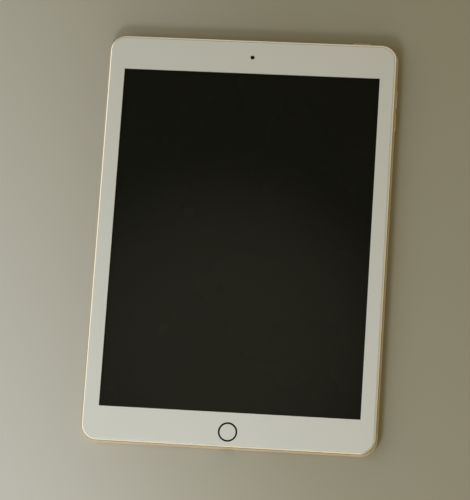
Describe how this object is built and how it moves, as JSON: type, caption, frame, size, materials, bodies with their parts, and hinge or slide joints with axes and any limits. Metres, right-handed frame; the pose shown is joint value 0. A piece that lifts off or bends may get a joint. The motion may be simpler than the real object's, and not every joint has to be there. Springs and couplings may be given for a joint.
{
  "type": "tablet computer",
  "caption": "Slim tablet computer with a glass front, white border, dark display, round home button and a gold anodised aluminium back with rounded edges.",
  "frame": {"origin": "middle of the flat back face, the face it rests on", "axes": "+X to the right as the user sees the screen, +Y towards the front camera along the longer side, +Z out of the screen"},
  "size_m": [0.1698, 0.2404, 0.0075],
  "materials": {
    "gold_aluminium": "bead blasted and anodised, with a polished chamfer",
    "clear_glass": "polished",
    "white_ink": "opaque ink behind glass",
    "gasket_plastic": "satin",
    "dark_adhesive": "matt",
    "clear_film": "clear film",
    "display_black": "gloss, switched off",
    "display_foam": "foam",
    "light_guide": "frosted white",
    "pressed_steel": "pressed sheet",
    "screw_steel": "bright",
    "flex_circuit": "polyimide film with copper traces",
    "circuit_board": "solder mask",
    "chip_black": "moulded",
    "plug_plastic": "moulded with plated pins",
    "battery_foil": "soft foil pouch",
    "pull_tape": "stretch adhesive",
    "black_plastic": "moulded",
    "white_plastic": "moulded",
    "plated_contacts": "gold plated",
    "soft_silicone": "matt",
    "button_cap": "polished",
    "lens_glass": "coated",
    "magnet_nickel": "nickel plated",
    "woven_mesh": "fine black woven wire"
  },
  "bodies": {
    "tablet": {"rear_housing": "gold_aluminium", "rear_camera_ring": "gold_aluminium", "cover_glass": "clear_glass", "rear_camera_window": "clear_glass", "bezel_print": "white_ink", "glass_gasket": "gasket_plastic", "glass_adhesive": "dark_adhesive", "touch_film": "clear_film", "touch_flex": "flex_circuit", "display_frame": "pressed_steel", "display_backlight": "light_guide", "backlight_lamps": "light_guide", "display_panel": "display_black", "display_foam": "display_foam", "display_driver": "circuit_board", "display_flex": "flex_circuit", "display_screws": "screw_steel", "battery_cells": "battery_foil", "battery_tape": "pull_tape", "battery_controller": "circuit_board", "battery_flex": "flex_circuit", "logic_board": "circuit_board", "board_shields": "pressed_steel", "processor": "chip_black", "memory_chips": "chip_black", "board_chips": "chip_black", "board_connectors": "plug_plastic", "board_screws": "screw_steel", "charging_port_shell": "pressed_steel", "charging_port_insert": "black_plastic", "port_flex": "flex_circuit", "headphone_jack": "white_plastic", "headphone_contacts": "plated_contacts", "top_flex": "flex_circuit", "volume_flex": "flex_circuit", "speakers": "black_plastic", "speaker_mesh": "woven_mesh", "bracket_screws": "screw_steel", "microphones": "black_plastic", "front_camera": "black_plastic", "front_camera_bracket": "pressed_steel", "light_sensor": "chip_black", "rear_camera": "black_plastic", "camera_lenses": "lens_glass", "wifi_antennas": "black_plastic", "antenna_cables": "black_plastic", "cover_magnets": "magnet_nickel", "home_button_seal": "soft_silicone", "home_button_dome": "screw_steel", "home_button_bracket": "pressed_steel", "home_button_flex": "flex_circuit", "side_button_domes": "screw_steel", "side_button_switches": "black_plastic", "side_button_brackets": "pressed_steel"},
    "home_button": {"home_button_cap": "button_cap", "home_button_ring": "gold_aluminium", "home_button_carrier": "white_plastic"},
    "power_button": {"power_button": "gold_aluminium"},
    "volume_up_button": {"volume_up_button": "gold_aluminium"},
    "volume_down_button": {"volume_down_button": "gold_aluminium"}
  },
  "joints": [
    {"name": "home_button_press", "type": "slide", "parent": "tablet", "child": "home_button", "axis": [0, 0, -1], "range_m": [0, 0.0002], "stiffness_N_per_m": 4000, "deforming": ["home_button_dome"]},
    {"name": "power_button_press", "type": "slide", "parent": "tablet", "child": "power_button", "axis": [0, -1, 0], "range_m": [0, 0.0003], "stiffness_N_per_m": 4000, "deforming": ["side_button_domes"]},
    {"name": "volume_up_press", "type": "slide", "parent": "tablet", "child": "volume_up_button", "axis": [-1, 0, 0], "range_m": [0, 0.0003], "stiffness_N_per_m": 4000, "deforming": ["side_button_domes"]},
    {"name": "volume_down_press", "type": "slide", "parent": "tablet", "child": "volume_down_button", "axis": [-1, 0, 0], "range_m": [0, 0.0003], "stiffness_N_per_m": 4000, "deforming": ["side_button_domes"]}
  ]
}
